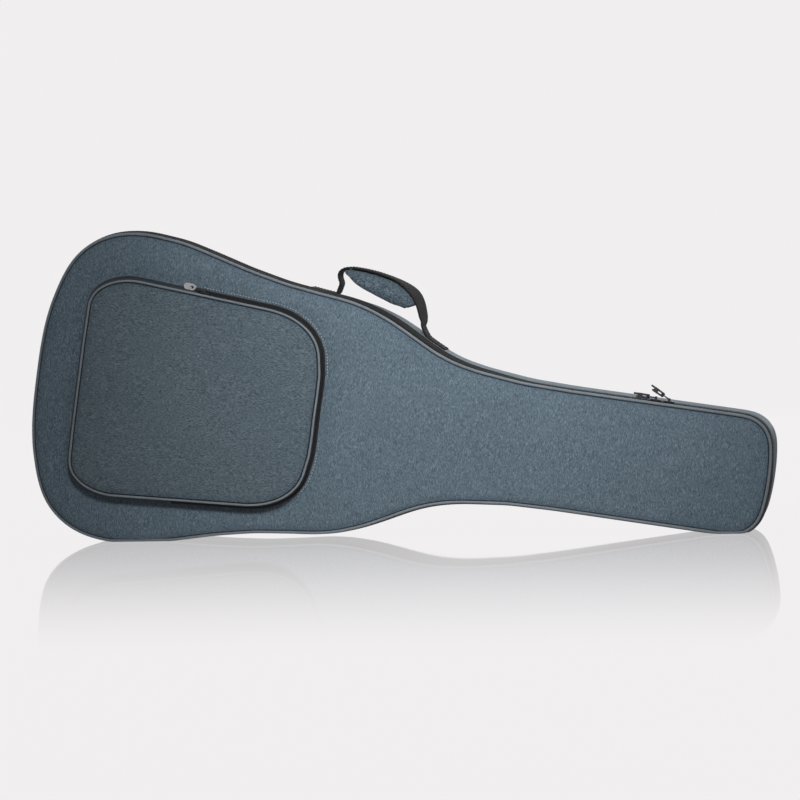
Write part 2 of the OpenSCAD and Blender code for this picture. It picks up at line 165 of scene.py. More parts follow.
def ring(d, y, loop=RIM, nrm=case_n, pick=None, floor=0.0002):
    """A ring of points moved in from the outline by d, at depth y. Both may vary along the ring."""
    q = loop - nrm * np.broadcast_to(np.asarray(d, float).reshape(-1, 1), (len(loop), 1))
    p = world_xz(q)
    z = np.maximum(p[:, 1], floor)
    out = np.stack([p[:, 0], np.broadcast_to(y, (len(loop),)), z], -1)
    return out if pick is None else out[pick]


def uv_of(loop=RIM):
    return loop[:, 0] - U0, loop[:, 1] - V0


CASE_U, CASE_V = uv_of()


# ---------------------------------------------------------------- mesh helpers
def make(name, verts, faces, smooth=True):
    mesh = bpy.data.meshes.new(name)
    mesh.from_pydata([tuple(map(float, v)) for v in verts], [], [tuple(map(int, f)) for f in faces])
    mesh.validate()
    obj = bpy.data.objects.new(name, mesh)
    bpy.context.scene.collection.objects.link(obj)
    bm = bmesh.new()
    bm.from_mesh(mesh)
    bmesh.ops.recalc_face_normals(bm, faces=bm.faces)
    bm.to_mesh(mesh)
    bm.free()
    mesh.polygons.foreach_set("use_smooth", [smooth] * len(mesh.polygons))
    return obj


def grid_faces(rows, cols, close_rows, close_cols, base=0):
    out = []
    for i in range(rows if close_rows else rows - 1):
        for j in range(cols if close_cols else cols - 1):
            a, b = i * cols + j, i * cols + (j + 1) % cols
            c, d = ((i + 1) % rows) * cols + (j + 1) % cols, ((i + 1) % rows) * cols + j
            out.append((base + a, base + b, base + c, base + d))
    return out


def loft(name, rings, close_rows=False, close_cols=True, caps=False):
    rings = np.array(rings)
    rows, cols = rings.shape[:2]
    faces = grid_faces(rows, cols, close_rows, close_cols)
    if caps and close_rows and not close_cols:
        faces.append([i * cols for i in range(rows)])
        faces.append([i * cols + cols - 1 for i in range(rows)][::-1])
    if caps and close_cols and not close_rows:
        faces.append(list(range(cols)))
        faces.append([(rows - 1) * cols + k for k in range(cols)][::-1])
    return make(name, rings.reshape(-1, 3), faces)


def attribute(obj, name, values):
    a = obj.data.attributes.new(name, "FLOAT", "POINT")
    a.data.foreach_set("value", np.asarray(values, np.float32).ravel())
    return obj


def tube_verts(path, radius, sides=10, closed=False):
    path = np.asarray(path, float)
    n = len(path)
    t = (np.roll(path, -1, 0) - np.roll(path, 1, 0)) if closed else np.gradient(path, axis=0)
    t /= np.linalg.norm(t, axis=1)[:, None]
    side = np.cross(t, [0, 1, 0])
    bad = np.linalg.norm(side, axis=1) < 1e-3
    side[bad] = [1, 0, 0]
    side /= np.linalg.norm(side, axis=1)[:, None]
    other = np.cross(t, side)
    a = np.linspace(0, 2 * math.pi, sides, endpoint=False)
    r = np.broadcast_to(radius, (n,))[:, None, None]
    return path[:, None] + r * (np.cos(a)[None, :, None] * side[:, None] + np.sin(a)[None, :, None]
        * other[:, None])


def tube(name, path, radius, sides=10, closed=False):
    rings = tube_verts(path, radius, sides, closed)
    return loft(name, rings, close_rows=closed, close_cols=True, caps=not closed)


def modified(obj, *mods):
    """Modifiers, given as (type, settings), applied to the mesh."""
    for kind, settings in mods:
        m = obj.modifiers.new(kind, kind)
        for k, v in settings.items():
            setattr(m, k, v)
    bpy.context.view_layer.update()
    dg = bpy.context.evaluated_depsgraph_get()
    mesh = bpy.data.meshes.new_from_object(obj.evaluated_get(dg))
    obj.modifiers.clear()
    obj.data = mesh
    mesh.polygons.foreach_set("use_smooth", [True] * len(mesh.polygons))
    return obj


def soft_copy(node, name, voxel=0.003, smooth=12):
    """A rounded, softened copy of a plain solid."""
    mesh = NODES[node].data.copy()
    mesh.materials.clear()
    obj = bpy.data.objects.new(name, mesh)
    bpy.context.scene.collection.objects.link(obj)
    mods = [("REMESH", {"mode": "VOXEL", "voxel_size": voxel}),
        ("SMOOTH", {"factor": 0.5, "iterations": smooth})]
    return modified(obj, *mods)


def bevelled_copy(node, name, width, segments=3):
    """A copy of a hard solid with rounded edges."""
    mesh = NODES[node].data.copy()
    mesh.materials.clear()
    bm = bmesh.new()
    bm.from_mesh(mesh)
    bmesh.ops.remove_doubles(bm, verts=bm.verts, dist=1e-6)
    bmesh.ops.dissolve_limit(bm, angle_limit=math.radians(1), verts=bm.verts, edges=bm.edges)
    bm.to_mesh(mesh)
    bm.free()
    obj = bpy.data.objects.new(name, mesh)
    bpy.context.scene.collection.objects.link(obj)
    obj = modified(obj, ("BEVEL", {"width": width, "segments": segments, "limit_method": "ANGLE",
                                   "angle_limit": math.radians(40), "harden_normals": False}))
    return modified(obj, ("WEIGHTED_NORMAL", {"keep_sharp": False}))


def wobble(p, size, scale, seed):
    q = np.asarray(p, float).reshape(-1, 3)
    return np.array([noise.noise(Vector(v) / scale + Vector((seed, seed * 0.37, 0))) for v in q]) * size


# ---------------------------------------------------------------- materials
def shader(name):
    mat = bpy.data.materials.new(name)
    mat.use_nodes = True
    nt = mat.node_tree
    return mat, nt, nt.nodes["Principled BSDF"]


def node(nt, kind, **values):
    n = nt.nodes.new(kind)
    for k, v in values.items():
        if k in n.inputs:
            n.inputs[k].default_value = v
        else:
            setattr(n, k, v)
    return n


def coords(nt, scale=(1, 1, 1), turn=0.0):
    """Object coordinates turned to lie along the bag, then scaled."""
    tc = node(nt, "ShaderNodeTexCoord")
    rot = node(nt, "ShaderNodeMapping", vector_type="POINT")
    rot.inputs["Rotation"].default_value = (0, -TILT + turn, 0)
    nt.links.new(tc.outputs["Object"], rot.inputs["Vector"])
    sc = node(nt, "ShaderNodeMapping", vector_type="POINT")
    sc.inputs["Scale"].default_value = scale
    nt.links.new(rot.outputs["Vector"], sc.inputs["Vector"])
    return sc.outputs["Vector"]


def noise_fac(nt, vector, scale, detail=2.0, rough=0.6):
    n = node(nt, "ShaderNodeTexNoise", Scale=scale, Detail=detail, Roughness=rough)
    nt.links.new(vector, n.inputs["Vector"])
    return n.outputs["Fac"]


def ramp(nt, fac, stops):
    n = node(nt, "ShaderNodeValToRGB")
    cr = n.color_ramp
    while len(cr.elements) < len(stops):
        cr.elements.new(0.5)
    for e, (p, c) in zip(cr.elements, stops):
        e.position = p
        e.color = (*c, 1) if len(c) == 3 else c
    nt.links.new(fac, n.inputs["Fac"])
    return n.outputs["Color"]


def mix(nt, kind, fac, a, b):
    n = node(nt, "ShaderNodeMix", data_type="RGBA", blend_type=kind)
    if isinstance(fac, (int, float)):
        n.inputs[0].default_value = fac
    else:
        nt.links.new(fac, n.inputs[0])
    for sock, v in ((n.inputs[6], a), (n.inputs[7], b)):
        if isinstance(v, tuple):
            sock.default_value = (*v, 1)
        else:
            nt.links.new(v, sock)
    return n.outputs[2]


def math_node(nt, op, a, b=0.0):
    n = node(nt, "ShaderNodeMath", operation=op)
    for sock, v in zip(n.inputs, (a, b)):
        if isinstance(v, (int, float)):
            sock.default_value = v
        else:
            nt.links.new(v, sock)
    return n.outputs[0]


def bump(nt, height, strength, distance, normal=None):
    n = node(nt, "ShaderNodeBump", Strength=strength, Distance=distance)
    nt.links.new(height, n.inputs["Height"])
    if normal is not None:
        nt.links.new(normal, n.inputs["Normal"])
    return n.outputs["Normal"]


def heather(name, dark, mid, light, streaks=(1, 1, 1), turn=0.0, sheen=0.25, seam=None):
    """Melange fabric: streaky two-tone yarn, a fine weave and a soft sheen, plus painted shade along the
    seam groove when seam is given.
    """
    mat, nt, bsdf = shader(name)
    fine = coords(nt, (1, 1, 1), turn)
    long_ = coords(nt, streaks, turn)
    yarn = noise_fac(nt, long_, 950, 3, 0.65)
    slub = noise_fac(nt, long_, 300, 2, 0.6)
    cloud = noise_fac(nt, fine, 9, 3, 0.5)
    speck = noise_fac(nt, fine, 1500, 1, 0.5)
    tone = ramp(nt, yarn, [(0.34, dark), (0.5, mid), (0.68, light)])
    tone = mix(nt, "MULTIPLY", 0.3, tone,
        ramp(nt, slub, [(0.35, (0.62, 0.64, 0.66)), (0.62, (1.12, 1.1, 1.08))]))
    tone = mix(nt, "MULTIPLY", 0.5, tone,
        ramp(nt, speck, [(0.35, (0.62, 0.62, 0.64)), (0.65, (1.25, 1.25, 1.22))]))
    tone = mix(nt, "MULTIPLY", 0.5, tone,
        ramp(nt, cloud, [(0.3, (0.86, 0.87, 0.88)), (0.7, (1.06, 1.06, 1.05))]))
    # painted shade: the colour is darkened in the groove just inside the piping seam, driven by the edge
    # attribute
    if seam:
        at = node(nt, "ShaderNodeAttribute", attribute_name="edge", attribute_type="GEOMETRY")
        edge = ramp(nt, at.outputs["Fac"], seam)
        tone = mix(nt, "MULTIPLY", 1.0, tone, edge)
    nt.links.new(tone, bsdf.inputs["Base Color"])
    weave_x = node(nt, "ShaderNodeTexWave", wave_type="BANDS", bands_direction="X", Scale=190.0,
        Distortion=1.2, Detail=1.0)
    weave_x.inputs["Detail Scale"].default_value = 3.0
    weave_z = node(nt, "ShaderNodeTexWave", wave_type="BANDS", bands_direction="Z", Scale=190.0,
        Distortion=1.2, Detail=1.0)
    weave_z.inputs["Detail Scale"].default_value = 3.0
    nt.links.new(fine, weave_x.inputs["Vector"])
    nt.links.new(fine, weave_z.inputs["Vector"])
    h = math_node(nt, "ADD", weave_x.outputs["Fac"], weave_z.outputs["Fac"])
    h = math_node(nt, "ADD", h, math_node(nt, "MULTIPLY", yarn, 1.6))
    n1 = bump(nt, h, 0.45, 0.00025)
    n2 = bump(nt, noise_fac(nt, fine, 26, 3, 0.5), 0.25, 0.002, n1)
    nt.links.new(n2, bsdf.inputs["Normal"])
    bsdf.inputs["Roughness"].default_value = 0.92
    bsdf.inputs["Specular IOR Level"].default_value = 0.25
    bsdf.inputs["Sheen Weight"].default_value = sheen
    bsdf.inputs["Sheen Roughness"].default_value = 0.45
    bsdf.inputs["Sheen Tint"].default_value = (0.75, 0.82, 0.9, 1)
    return mat


def plain_cloth(name, color, bands=320.0, strength=0.5, sheen=0.15, rough=0.85, distance=0.0003, turn=0.0):
    """Plain woven cloth, tape or webbing: one colour with a ribbed weave."""
    mat, nt, bsdf = shader(name)
    v = coords(nt, (1, 1, 1), turn)
    tone = mix(nt, "MULTIPLY", 0.6, color,
        ramp(nt, noise_fac(nt, v, 800, 2, 0.6), [(0.35, (0.6, 0.6, 0.6)), (0.65, (1.4, 1.4, 1.4))]))
    tone = mix(nt, "MULTIPLY", 0.5, tone,
        ramp(nt, noise_fac(nt, v, 30, 2, 0.5), [(0.3, (0.8, 0.8, 0.8)), (0.7, (1.15, 1.15, 1.15))]))
    nt.links.new(tone, bsdf.inputs["Base Color"])
    a = node(nt, "ShaderNodeTexWave", wave_type="BANDS", bands_direction="DIAGONAL", Scale=bands,
        Distortion=0.6)
    b = node(nt, "ShaderNodeTexWave", wave_type="BANDS", bands_direction="Y", Scale=bands * 0.5,
        Distortion=0.4)
    nt.links.new(v, a.inputs["Vector"])
    nt.links.new(v, b.inputs["Vector"])
    nt.links.new(bump(nt, math_node(nt, "ADD", a.outputs["Fac"], b.outputs["Fac"]), strength, distance),
        bsdf.inputs["Normal"])
    bsdf.inputs["Roughness"].default_value = rough
    bsdf.inputs["Specular IOR Level"].default_value = 0.3
    bsdf.inputs["Sheen Weight"].default_value = sheen
    bsdf.inputs["Sheen Roughness"].default_value = 0.5
    return mat


def plush(name, color):
    """Short-pile lining."""
    mat, nt, bsdf = shader(name)
    v = coords(nt)
    tone = mix(nt, "MULTIPLY", 0.8, color,
        ramp(nt, noise_fac(nt, v, 420, 4, 0.7), [(0.3, (0.5, 0.5, 0.5)), (0.7, (1.6, 1.6, 1.6))]))
    nt.links.new(tone, bsdf.inputs["Base Color"])
    h = math_node(nt, "ADD", noise_fac(nt, v, 900, 3, 0.7),
        math_node(nt, "MULTIPLY", noise_fac(nt, v, 60, 3, 0.5), 1.5))
    nt.links.new(bump(nt, h, 0.7, 0.0008), bsdf.inputs["Normal"])
    bsdf.inputs["Roughness"].default_value = 0.95
    bsdf.inputs["Sheen Weight"].default_value = 0.6
    bsdf.inputs["Sheen Roughness"].default_value = 0.35
    bsdf.inputs["Sheen Tint"].default_value = (0.5, 0.52, 0.56, 1)
    return mat


def moulded(name, color, rough=0.4, metallic=0.0, grain=0.2, scratch=0.12):
    """Moulded plastic or plated metal with fine grain and light wear."""
    mat, nt, bsdf = shader(name)
    v = coords(nt)
    bsdf.inputs["Metallic"].default_value = metallic
    tone = mix(nt, "MULTIPLY", 0.5, color,
        ramp(nt, noise_fac(nt, v, 90, 4, 0.6), [(0.3, (0.8, 0.8, 0.8)), (0.7, (1.15, 1.15, 1.15))]))
    nt.links.new(tone, bsdf.inputs["Base Color"])
    wear = noise_fac(nt, coords(nt, (1, 5, 1)), 260, 4, 0.7)
    r = node(nt, "ShaderNodeMapRange")
    r.inputs["To Min"].default_value = max(rough - scratch, 0.05)
    r.inputs["To Max"].default_value = rough + scratch
    nt.links.new(wear, r.inputs["Value"])
    nt.links.new(r.outputs["Result"], bsdf.inputs["Roughness"])
    nt.links.new(bump(nt, noise_fac(nt, v, 1600, 2, 0.6), grain, 0.0001), bsdf.inputs["Normal"])
    return mat


# painted shade in the seam groove beside the piping: near black at the seam, fading out within about 2.6 mm
SEAM_GROOVE_SHADE = [(0.0, (0.07, 0.08, 0.1)), (0.07, (0.12, 0.13, 0.17)), (0.13, (0.85, 0.87, 0.9)), (0.5, (1, 1, 1))]
M_PANEL = heather("panel_heather", (0.052, 0.08, 0.104), (0.108, 0.152, 0.19), (0.2, 0.262, 0.308),
    (1, 1, 0.3), seam=SEAM_GROOVE_SHADE)
M_SIDE = heather("side_heather", (0.055, 0.083, 0.105), (0.1, 0.14, 0.17), (0.165, 0.215, 0.25),
    (0.4, 1, 0.6))
M_POCKET = heather("pocket_heather", (0.044, 0.066, 0.082), (0.088, 0.12, 0.144), (0.168, 0.214, 0.242),
    (0.3, 1, 1), seam=SEAM_GROOVE_SHADE)
M_GRIP = heather("grip_heather", (0.03, 0.05, 0.066), (0.07, 0.1, 0.125), (0.17, 0.215, 0.25),
    (0.4, 1, 0.4))
M_PIPING = plain_cloth("piping_cloth", (0.165, 0.195, 0.215), 420, 0.4, 0.2, 0.6)
M_TAPE = plain_cloth("zip_tape_cloth", (0.008, 0.0083, 0.009), 420, 0.5, 0.02, 0.9)
M_WEB = plain_cloth("webbing_cloth", (0.009, 0.0093, 0.01), 210, 0.8, 0.04, 0.85, 0.0005)
M_BLACK = plain_cloth("black_cloth", (0.016, 0.0165, 0.018), 300, 0.5, 0.15, 0.9)
M_PLUSH = plush("lining_plush", (0.028, 0.03, 0.034))
M_PAD = plush("pad_plush", (0.022, 0.023, 0.027))
M_COIL = moulded("coil_nylon", (0.012, 0.012, 0.013), 0.38)
M_PLASTIC = moulded("buckle_moulding", (0.014, 0.014, 0.015), 0.42, 0, 0.4)
M_BLACK_METAL = moulded("black_metal", (0.02, 0.02, 0.021), 0.35, 0.3, 0.1)
M_NICKEL = moulded("nickel", (0.62, 0.63, 0.64), 0.24, 1.0, 0.05)
M_PULL = moulded("pull_rubber", (0.01, 0.01, 0.011), 0.6, 0, 0.3)
M_THREAD = moulded("black_thread", (0.02, 0.02, 0.022), 0.6)
M_PALE_THREAD = moulded("pale_thread", (0.45, 0.5, 0.54), 0.6)
M_GREY_THREAD = moulded("grey_thread", (0.09, 0.12, 0.15), 0.6)


def finish(obj, mat, body, replaced=(), blend=None):
    obj.data.materials.clear()
    obj.data.materials.append(mat)
    if replaced:
        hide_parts(*replaced)
    if blend:
        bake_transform(obj)
    else:
        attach(obj, body)
    return obj


def stitches(name, path, length=0.0026, gap=0.0014, radius=0.00038, mat=M_THREAD, body="case",
    lift=None, blend=None):
    """A row of short thread stitches along a path."""
    path = np.asarray(path, float)
    s = np.concatenate([[0], np.cumsum(np.linalg.norm(np.diff(path, axis=0), axis=1))])
    count = int(s[-1] / (length + gap))
    if count < 1:
        return None
    starts = np.arange(count) * (s[-1] / count)
    at = lambda x: np.stack([np.interp(x, s, path[:, k]) for k in range(3)], -1)
    a, m, b = at(starts), at(starts + length / 2), at(starts + length)
    verts, faces = [], []
    off = np.zeros(3) if lift is None else np.asarray(lift, float)
    ang = np.linspace(0, 2 * math.pi, 5, endpoint=False)
    for p, q, r in zip(a, m, b):
        t = r - p
        t /= max(np.linalg.norm(t), 1e-9)
        side = np.cross(t, [0.13, 0.97, 0.21])
        side /= np.linalg.norm(side)
        other = np.cross(t, side)
        base = len(verts)
        for c, rad in ((p, 0.4), (p + (q - p) * 0.35, 1), (q + off, 1), (r + (q - r) * 0.35, 1), (r, 0.4)):
            for k in ang:
                verts.append(c + radius * rad * (math.cos(k) * side + math.sin(k) * other))
        faces += grid_faces(5, 5, False, True, base)
        faces += [tuple(base + k for k in range(5)), tuple(base + 20 + k for k in range(5))[::-1]]
    obj = make(name, verts, faces)
    return finish(obj, mat, body, blend=blend)


# ---------------------------------------------------------------- padded panels
def panel_grid(loop, nrm, inset, cols):
    """Rows across the bag between matching points, with each point's distance from the edge."""
    q = loop - nrm * inset
    half = len(q) // 2
    up, low = q[: half + 1], np.vstack([q[:1], q[-1 : half - 1 : -1]])
    t = np.linspace(0, 1, cols)
    t = 0.6 * t + 0.4 * (0.5 - 0.5 * np.cos(math.pi * t))
    g = up[:, None] * (1 - t)[None, :, None] + low[:, None] * t[None, :, None]
    return g, distance(g, np.vstack([q, (q + np.roll(q, -1, 0)) / 2]))


def distance(points, edge):
    flat = points.reshape(-1, 2)
    out = np.empty(len(flat))
    for k in range(0, len(flat), 4000):
        out[k : k + 4000] = np.sqrt(((flat[k : k + 4000, None] - edge[None]) ** 2).sum(-1).min(1))
    return out.reshape(points.shape[:-1])


def padded_panel(name, loop, nrm, inset, y, sign, crown, wrinkle, cols, seed, dip=None):
    """A face panel that swells away from its seam. sign is -1 for a front face and 1 for a back one."""
    g, dist = panel_grid(loop, nrm, inset, cols)
    p = world_xz(g)
    pts = np.stack([p[..., 0], np.full(p.shape[:2], y), np.maximum(p[..., 1], 0.0004)], -1)
    swell = crown[0] * (1 - np.exp(-dist / 0.006)) + crown[1] * (1 - np.exp(-dist / 0.05))
    w = wobble(pts, wrinkle, 0.07, seed).reshape(dist.shape) + wobble(pts, wrinkle * 0.4, 0.024,
        seed + 3).reshape(dist.shape)
    swell = swell + w * np.clip(dist / 0.02, 0, 1)
    if dip:
        loop2, amount, reach = dip
        near = distance(g, loop2)
        swell = swell - amount * np.exp(-((near / reach) ** 1.3))
    pts[..., 1] += sign * swell
    obj = loft(name, pts, close_cols=False)
    # edge: distance from the seam, read by the panel and pocket materials to paint shade in the seam groove
    attribute(obj, "edge", np.clip(dist / 0.02, 0, 1))
    return obj


PIPE_R = (hi("front_piping")[1] - lo("front_piping")[1]) / 2
lid_cols = int(90 * FINE)
front = padded_panel("lid_face", RIM, case_n, 0.0035, FRONT + 0.002, -1, (0.0032, 0.0048), 0.0009, lid_cols,
    2.0,
                     (pocket_loop + pocket_n * 0.004, 0.005, 0.016))
finish(front, M_PANEL, "lid", ["front_panel"])


# ---------------------------------------------------------------- piping
def piping(name, loop, nrm, inset, y, radius, body, replaced, closed=True):
    path = ring(inset, y, loop, nrm, floor=radius if loop is RIM else 0.0)
    obj = tube(name, path, radius, 12, closed)
    return finish(obj, M_PIPING, body, replaced)


# ---------------------------------------------------------------- side wall with its bulge
LID_COIL = (lo("lid_zip_coil")[1], hi("lid_zip_coil")[1])
CASE_COIL = (lo("case_zip_coil")[1], hi("case_zip_coil")[1])
WALL = (lo("side_wall")[1], hi("side_wall")[1])
TAPE_IN = hi("front_piping")[0] - hi("case_zip_tape")[0]
HINGE_X = (lo("hinge_cloth_case")[0], hi("hinge_cloth_case")[0])
hinge_zone = (CASE_V < 0) & (CASE_U > HINGE_X[0] - lo("front_piping")[0]) & (CASE_U < HINGE_X[1]
    - lo("front_piping")[0])
hinge_u = (local(mesh_points("hinge_cloth_case")[:, [0, 2]])[:, 0] - U0)
hinge_zone = (CASE_V < 0) & (CASE_U > hinge_u.min()) & (CASE_U < hinge_u.max())
ZIP_RUN = np.where(~hinge_zone)[0]
first_low = np.where(hinge_zone)[0]
ZIP_RUN = np.roll(np.arange(COUNT), -(first_low.max() + 1))[: COUNT - len(first_low)]
HINGE_RUN = np.concatenate([[first_low.min() - 1], first_low, [(first_low.max() + 1) % COUNT]])

on_top = np.clip(CASE_V / 0.03, 0, 1)
waist = np.exp(-(((CASE_U - 0.53) / 0.09) ** 2)) * on_top
shoulder = np.clip((CASE_U - 0.03) / 0.1, 0, 1) * np.clip((0.62 - CASE_U) / 0.1, 0, 1) * on_top
taper = 0.0065 * shoulder * (1 - waist)
side_bulge = 0.001 + 0.001 * waist
neck_run = np.clip((CASE_U - 0.66) / 0.08, 0, 1) * on_top
zip_bulge = (0.0022 + 0.003 * waist) * (1 - neck_run) * (0.25 + 0.75 * np.clip((CASE_V + 0.2) / 0.1, 0, 1))


def zip_out(y):
    """How far the zip band stands out at depth y: most at the coil, least at the two seams."""
    t = (y - FRONT) / (WALL[0] + 0.006 - FRONT)
    return zip_bulge * np.sin(np.clip(t, 0, 1) * math.pi) ** 0.8


def back_in(y):
    """How far the side wall draws in towards the back."""
    return taper * np.clip((y - WALL[0]) / (BACK - WALL[0]), 0, 1) ** 0.8


def wall_rings(d0, y0, y1, count, bulge, seed, wrinkle=0.0007):
    rings = []
    for k in range(count):
        t = k / (count - 1)
        y = y0 + (y1 - y0) * t
        arch = math.sin(math.pi * t) ** 0.6
        d = d0 - bulge * arch - zip_out(y) + back_in(y)
        w = wobble(ring(d, y), wrinkle, 0.05, seed) * arch
        rings.append(ring(d - w, y))
    return rings


piping("front_edge_piping", RIM, case_n, PIPE_R * 0.85, FRONT + PIPE_R, PIPE_R * 0.82, "lid",
    ["front_piping"])
piping("back_edge_piping", RIM, case_n, PIPE_R * 0.85 + taper, BACK - PIPE_R, PIPE_R * 0.82, "case",
    ["back_piping"])
back = padded_panel("back_face", RIM - case_n * taper[:, None], case_n, 0.0035, BACK - 0.0024, 1,
    (0.002, 0.003), 0.0008, lid_cols, 7.0)
finish(back, M_PANEL, "case", ["back_panel"])

wall_out = wall_rings(TAPE_IN, WALL[0] + 0.002, WALL[1] + 0.002, int(22 * FINE) + 2, side_bulge, 11.0)
side = loft("side_wall_cloth", wall_out)
finish(side, M_SIDE, "case", ["side_wall"])


# ---------------------------------------------------------------- zip
def tape(name, y0, y1, d, thick, picks, body, replaced, mat=M_TAPE, loop=RIM, nrm=case_n,
    floor=0.0003, out=zip_out):
    ys = np.linspace(y0, y1, 8)
    rows = [ring(d - out(y), y, loop, nrm, picks, floor) for y in ys]
    rows += [ring(d + thick - out(y), y, loop, nrm, picks, floor) for y in ys[::-1]]
    return finish(loft(name, rows, close_rows=True, close_cols=False, caps=True), mat, body, replaced)


TAPE_T = 0.001
tape("lid_tape", FRONT + 0.0035, LID_COIL[0] + 0.0008, TAPE_IN, TAPE_T, ZIP_RUN, "lid", ["lid_zip_tape"])
tape("case_tape", CASE_COIL[1] - 0.0008, WALL[0] + 0.001, TAPE_IN, TAPE_T, ZIP_RUN, "case",
    ["case_zip_tape"])


def coil(name, y_edge, y_back, d, pitch, body, replaced, picks, loop, nrm, phase=0.0, floor=0.0004):
    """Nylon coil: a row of rounded turns along the tape edge."""
    path_out = ring(d, 0, loop, nrm, picks, floor)
    s = np.concatenate([[0], np.cumsum(np.linalg.norm(np.diff(path_out, axis=0), axis=1))])
    n = int(s[-1] / pitch)
    x = (np.arange(n) + phase) * s[-1] / n
    c = np.stack([np.interp(x, s, path_out[:, k]) for k in (0, 2)], -1)
    t = np.stack([np.interp(x + 0.0004, s, path_out[:, k]) for k in (0, 2)], -1) - c
    t /= np.maximum(np.hypot(t[:, 0], t[:, 1]), 1e-9)[:, None]
    nn = np.stack([-t[:, 1], t[:, 0]], -1)
    high, w = 0.0013, pitch * 0.36
    section = [(-1, -1), (-1, 0.6), (-0.5, 1), (0.5, 1), (1, 0.6), (1, -1)]
    verts, faces = [], []
    for p, tt, no in zip(c, t, nn):
        base = len(verts)
        for y, lift in ((y_edge, 0.75), (y_edge * 0.75 + y_back * 0.25, 1.0), (y_back, 0.8)):
            for a, b in section:
                q = p + tt * a * w + no * b * high * lift
                verts.append((q[0], y, max(q[1], 0.0002)))
        faces += grid_faces(3, 6, False, True, base)
        faces += [tuple(base + k for k in range(6)), tuple(base + 12 + k for k in range(6))[::-1]]
    obj = make(name, verts, faces)
    return finish(obj, M_COIL, body, replaced)


PITCH = 0.0022 / FINE
MIDZIP = (LID_COIL[1] + CASE_COIL[0]) / 2
coil("lid_coil", MIDZIP - 0.00012, LID_COIL[0], TAPE_IN + 0.0004 - zip_out(MIDZIP), PITCH, "lid",
    ["lid_zip_coil"], ZIP_RUN, RIM, case_n)
coil("case_coil", MIDZIP + 0.00012, CASE_COIL[1], TAPE_IN + 0.0004 - zip_out(MIDZIP), PITCH, "case",
    ["case_zip_coil"], ZIP_RUN, RIM, case_n, 0.5)
for y, body, name in ((LID_COIL[0] - 0.0022, "lid", "lid_tape_stitching"),
    (CASE_COIL[1] + 0.0022, "case", "case_tape_stitching"),
                      (WALL[0] + 0.0022, "case", "wall_seam_stitching")):
    mat = M_GREY_THREAD if name.startswith("wall") else M_THREAD
    pick = np.arange(COUNT + 1) % COUNT if name.startswith("wall") else ZIP_RUN
    d = TAPE_IN - 0.0002 - zip_out(y) - (0.0004 if name.startswith("wall") else 0)
    stitches(name, ring(d, y, pick=pick, floor=0.0005), mat=mat, body=body)

hinge_path = HINGE_RUN
hinge_rows = []
for y in np.linspace(FRONT + 0.003, WALL[0] + 0.0005, 24):
    hinge_rows.append(ring(TAPE_IN, y, pick=hinge_path, floor=0.0003))
for y in np.linspace(WALL[0] + 0.0005, FRONT + 0.003, 24):
    hinge_rows.append(ring(TAPE_IN + TAPE_T, y, pick=hinge_path, floor=0.0013))
hinge_cloth = loft("hinge_cloth", hinge_rows, close_rows=True, close_cols=False, caps=True)
finish(hinge_cloth, M_BLACK, None, ["hinge_cloth_lid", "hinge_cloth_case"],
       blend=("lid", "case", (0, MIDZIP - 0.004, 0), (0, MIDZIP + 0.004, 0)))
stops = bevelled_copy("zip_end_stops", "zip_stops", 0.0004)
finish(stops, M_BLACK_METAL, "case", ["zip_end_stops"])

# ---------------------------------------------------------------- inner padding and lining
SIDE_PAD = (hi("front_piping")[0] - hi("side_foam")[0], hi("front_piping")[0] - hi("side_lining")[0])


def pad_rings(profile, seed, wrinkle=0.0006):
    rings = []
    for d, y in profile:
        r = ring(d, y, floor=0.0012)
        w = wobble(r, wrinkle, 0.04, seed)
        rings.append(ring(d + w, y, floor=0.0012))
    return rings


pad_t = (hi("back_foam")[1] - lo("back_foam")[1])
d_in = TAPE_IN + TAPE_T
d_room = FOAM_IN + pad_t + 0.001
y_f, y_b = WALL[0] - 0.0015, lo("back_lining")[1]
arc = [(d_in + (d_room - d_in) * (0.5 - 0.5 * math.cos(a)),
    y_f + 0.005 * (1 - math.sin(a))) for a in np.linspace(0.0, math.pi, 9)]
side_profile = [(d_in + 0.0004, WALL[0] + 0.006)] + arc + [(d_room + 0.0008 * math.sin(math.pi * t),
    y_f + 0.006 + (y_b - y_f - 0.006) * t) for t in np.linspace(0.02, 1, 14)]
side_pad = loft("side_padding", pad_rings(side_profile, 21.0))
finish(side_pad, M_PLUSH, "case", ["side_lining", "side_foam"])
bind_profile = [(d_in + 0.0002, WALL[0] + 0.004), (d_in + 0.0006, y_f - 0.0003),
    (d_in + 0.003, y_f - 0.0009), (d_in + 0.0045, y_f + 0.0002)]
binding = loft("rim_binding_tape", [ring(d, y, floor=0.001) for d, y in bind_profile])
finish(binding, M_BLACK, "case", ["rim_binding"])

inner_back = padded_panel("back_lining_pad", RIM, case_n, d_room - 0.002, y_b, -1, (0.001, 0.0015), 0.0008,
    lid_cols // 2, 31.0)
finish(inner_back, M_PLUSH, "case", ["back_lining", "back_foam"])
LID_ROOM = hi("front_lining")[1]
lid_edge = [(d_in + 0.0004, FRONT + 0.004), (d_in + 0.0006, LID_ROOM - 0.005)] + [
    (d_in + 0.0006 + 0.006 * (1 - math.cos(a)),
        LID_ROOM - 0.005 + 0.005 * math.sin(a)) for a in np.linspace(0.2, math.pi / 2, 7)]
lid_rim = loft("lid_padding_edge", pad_rings(lid_edge, 41.0, 0.0003))
finish(lid_rim, M_PLUSH, "lid", ["front_foam"])
inner_lid = padded_panel("lid_lining_pad", RIM, case_n, lid_edge[-1][0] - 0.0003, LID_ROOM, 1,
    (0.0008, 0.001), 0.0006, lid_cols // 2, 51.0)
finish(inner_lid, M_PLUSH, "lid", ["front_lining"])

